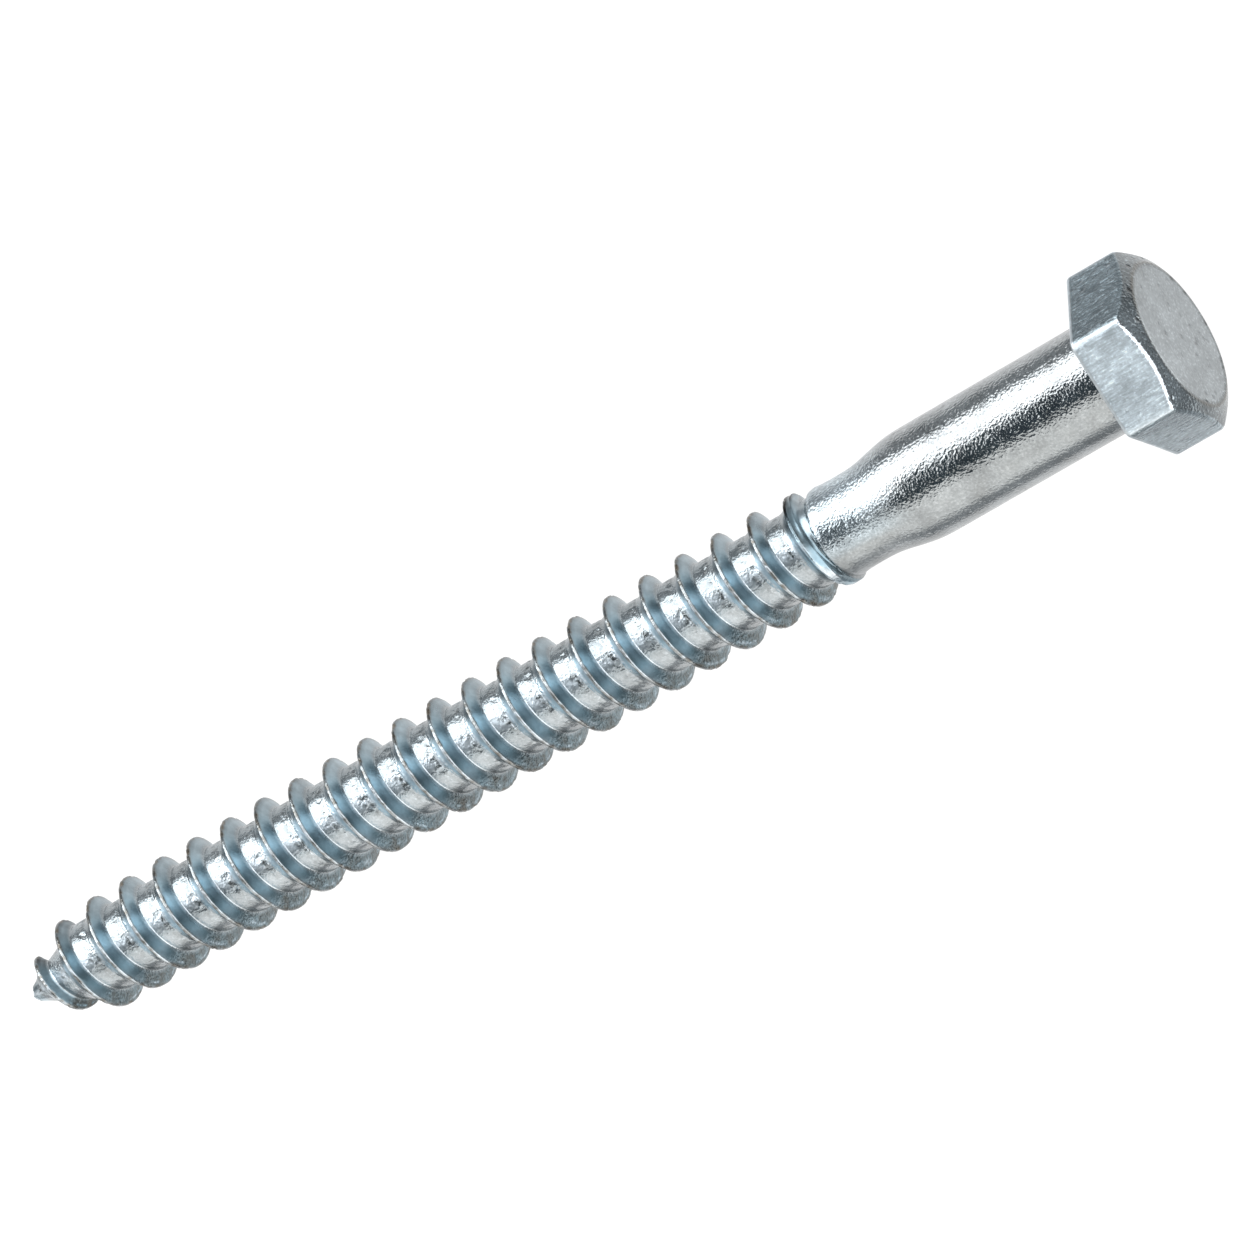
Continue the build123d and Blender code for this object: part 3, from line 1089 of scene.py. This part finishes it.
@dataclass
class Studio:
    """The table, the lamps, the card and the room that the metal mirrors, and the camera."""

    lie: Lie
    middle: float = -52.0
    lens_mm: float = 240.15
    distance_mm: float = 679.41
    aim_along: float = -48.54
    aim_down: float = 1.820
    lean: float = 24.993
    image_turn: float = 30.08
    window_end: float = 16.0
    window_front: float = 22.0
    window_back: float = 18.0
    card_spread: tuple[float, float, float] = (9.0, 40.0, 1.0)
    table_size: float = 6.0
    gap_mm: float = 0.02
    lamp_slant: float = 0.4663
    facing_up: float = 0.9945
    facing_side: float = 0.1045
    softboxes: tuple[Softbox, ...] = (
        Softbox("key_softbox", degrees=52.5, spread=48.0, reach=320.0, long=900.0, level=2.8),
        Softbox("key_wing", degrees=54.0, spread=96.0, reach=320.0, long=300.0, level=2.0,
                station=-395.0),
        Softbox("warm_fill", degrees=-56.0, spread=66.0, reach=340.0, long=620.0, level=0.10,
                colour="#FFF4E6"),
    )
    # Brightness of the room by the angle round the screw, in degrees from the facing side
    tones: tuple[tuple[float, float], ...] = (
        (-180.0, 0.84), (-100.0, 0.86), (-86.0, 1.18), (-24.0, 1.18), (-18.0, 0.08), (25.0, 0.08),
        (84.0, 0.12), (100.0, 0.12), (180.0, 0.84),
    )

    @property
    def facing(self) -> Vector:
        """The side of the screw that faces the camera, square to its axis."""
        side = Vector((0.0, 1.0, 0.0))
        return (self.facing_up * self.lie.up + self.facing_side * side).normalized()

    @property
    def away(self) -> Vector:
        """The side that lies lower left of the facing one, square to both."""
        side = Vector((0.0, 1.0, 0.0))
        return (self.facing_side * self.lie.up - self.facing_up * side).normalized()

    def ring_point(self, degrees: float, reach: float, along: float) -> Vector:
        """A point round the screw.

        Args:
            degrees: Angle from the facing side towards the back.
            reach: Distance from the axis in mm.
            along: Station along the axis in mm.

        Returns:
            The point in the row frame.
        """
        a = math.radians(degrees)
        out = math.cos(a) * self.facing - math.sin(a) * self.away
        return self.lie.middle + self.lie.along * along * MM + out * reach * MM

    def floor(self) -> bpy.types.Object:
        """A plain pale table top that keeps the screw's shadow."""
        bm = bmesh.new()
        bmesh.ops.create_grid(bm, x_segments=1, y_segments=1, size=self.table_size)
        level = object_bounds()[0][2] - self.gap_mm * MM
        bmesh.ops.translate(bm, verts=bm.verts[:], vec=(0, 0, level))
        thing = place("table_top", bm)
        thing.data.materials.append(MattWhiteTable().make())
        thing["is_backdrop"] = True
        return thing

    def lamp(self, box: Softbox) -> bpy.types.Object:
        """Hang a softbox so that it faces the screw's axis."""
        data = bpy.data.lights.new(box.name, "AREA")
        data.shape = "RECTANGLE"
        data.size = box.long * MM
        data.size_y = 2.0 * box.reach * math.tan(math.radians(box.spread / 2)) * MM
        data.color = linear(box.colour)[:3]
        data.energy = box.level * math.pi * data.size * data.size_y
        thing = bpy.data.objects.new(box.name, data)
        along = self.middle - self.lamp_slant * box.reach if box.station is None else box.station
        spot = self.ring_point(box.degrees, box.reach, along)
        back = (spot - self.ring_point(box.degrees, 0.0, along)).normalized()
        x_axis = self.lie.along
        y_axis = back.cross(x_axis)
        turn = Matrix((x_axis, y_axis, back)).transposed().to_4x4()
        thing.matrix_world = Matrix.Translation(spot) @ turn
        bpy.context.scene.collection.objects.link(thing)
        return thing

    def surround(self) -> bpy.types.Object:
        """Lay a grey card with a window round the screw, which only reflections see.

        Bright metal needs something darker to mirror: the card gives the chamfer and the edges of
        the shank their darker bands, and its window leaves the pale table in view by the screw.

        Returns:
            The card.
        """
        bm = bmesh.new()
        bmesh.ops.create_grid(bm, x_segments=1, y_segments=1, size=0.5)
        low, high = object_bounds()
        width = (high[0] - low[0]) + 2 * self.window_end * MM
        depth = (self.window_front + self.window_back) * MM
        bmesh.ops.scale(bm, vec=(width, depth, 1.0), verts=bm.verts[:])
        shift = (self.window_back - self.window_front) / 2 * MM
        bmesh.ops.translate(bm, vec=(0.0, shift, low[2] + self.gap_mm * MM), verts=bm.verts[:])
        grown = bmesh.ops.extrude_edge_only(bm, edges=bm.edges[:])["geom"]
        outer = [g for g in grown if isinstance(g, bmesh.types.BMVert)]
        bmesh.ops.scale(bm, vec=self.card_spread, verts=outer)
        window = [f for f in bm.faces if all(v not in outer for v in f.verts)]
        bmesh.ops.delete(bm, geom=window, context="FACES")
        thing = place("dark_card", bm)
        thing.data.materials.append(GreyCard().make())
        thing.visible_camera = False
        thing.visible_diffuse = False
        thing.visible_shadow = False
        thing.visible_transmission = False
        thing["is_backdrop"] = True
        return thing

    def world(self) -> None:
        """A white room with a dim ceiling over the screw."""
        room = bpy.data.worlds.new("white_room")
        tree = fresh_tree(room)
        way = add(tree, "TexCoord").outputs["Generated"]
        up, across, lean = (add(tree, "VectorMath", (way, tuple(axis)), operation="DOT_PRODUCT")
                            for axis in (self.facing, -self.away, self.lie.along))
        angle = add(tree, "Math", (across, up), operation="ARCTAN2")
        share = add(tree, "MapRange", (angle, -math.pi, math.pi))
        ramp = add(tree, "ValToRGB", (share,))
        bar = ramp.color_ramp
        while len(bar.elements) < len(self.tones):
            bar.elements.new(0.5)
        for mark, (degrees, tone) in zip(bar.elements, self.tones):
            mark.position = (degrees + 180.0) / 360.0
            cool = clamp((0.3 - tone) / 0.2)
            mark.color = ((1.0 - 0.28 * cool) * tone, tone, (0.98 + 0.20 * cool) * tone, 1.0)
        # Towards the head, a bright wall on the left stands before a dark room
        front = add(tree, "MapRange", (lean, 0.10, 0.25), interpolation_type="SMOOTHSTEP")
        left = add(tree, "MapRange", (angle, 0.45, 0.20), interpolation_type="SMOOTHSTEP")
        height = add(tree, "SeparateXYZ", (way,)).outputs["Z"]
        wall = add(tree, "MapRange", (height, 0.15, 0.40, 0.10, 2.2), interpolation_type="SMOOTHSTEP")
        wall = add(tree, "Math", (wall, left), operation="MULTIPLY")
        wall = add(tree, "Math", (wall, 0.10), operation="MAXIMUM")
        tone = add(tree, "Mix", {"Factor": front, "A": ramp, "B": wall}, data_type="RGBA")
        # Beyond the point the room is pale
        end = add(tree, "MapRange", (lean, -0.68, -0.90, 0.0, 0.85), interpolation_type="SMOOTHSTEP")
        tone = add(tree, "Mix", {"Factor": 1.0, "A": tone, "B": end}, data_type="RGBA",
                   blend_type="LIGHTEN")
        add(tree, "OutputWorld", {"Surface": add(tree, "Background", {"Color": tone, "Strength": 1.0})})
        bpy.context.scene.world = room

    def camera(self) -> bpy.types.Object:
        """Set the camera over the screw, leaning towards its head."""
        a = math.radians(self.lean)
        b = math.radians(self.image_turn)
        back = (math.sin(a) * self.lie.along + math.cos(a) * self.facing).normalized()
        run = (math.cos(a) * self.lie.along - math.sin(a) * self.facing).normalized()
        right = (math.cos(b) * run + math.sin(b) * self.away).normalized()
        up = (math.sin(b) * run - math.cos(b) * self.away).normalized()
        aim = self.lie.middle + (self.lie.along * self.aim_along - self.away * self.aim_down) * MM
        data = bpy.data.cameras.new("camera")
        data.lens = self.lens_mm
        data.sensor_width = 36.0
        data.clip_start = 0.01
        thing = bpy.data.objects.new("camera", data)
        spot = Matrix.Translation(aim + back * self.distance_mm * MM)
        thing.matrix_world = spot @ Matrix((right, up, back)).transposed().to_4x4()
        bpy.context.scene.collection.objects.link(thing)
        bpy.context.scene.camera = thing
        return thing

    def build(self) -> None:
        """Set up the whole studio."""
        self.floor()
        self.surround()
        for box in self.softboxes:
            self.lamp(box)
        self.world()
        self.camera()


def main() -> None:
    """Build the screw, dress it and set up the studio."""
    logging.basicConfig(level=logging.INFO, format="%(name)s: %(message)s")
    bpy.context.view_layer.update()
    bpy.context.scene.view_settings.view_transform = "Standard"
    screw = LagScrew()
    lie = Lie.from_record(frame["record"], screw.shank_mount)
    thing = screw.build(lie)
    thing.data.materials.append(BrightZincPlate().make(lie))
    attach(thing, "root")
    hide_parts(CAD_NODE)
    log.info("piece %s: %d vertices", thing.name, len(thing.data.vertices))
    Studio(lie).build()
    log.info("studio: table, three softboxes, room and camera")
    bpy.context.view_layer.update()


if __name__ == "__main__":
    main()
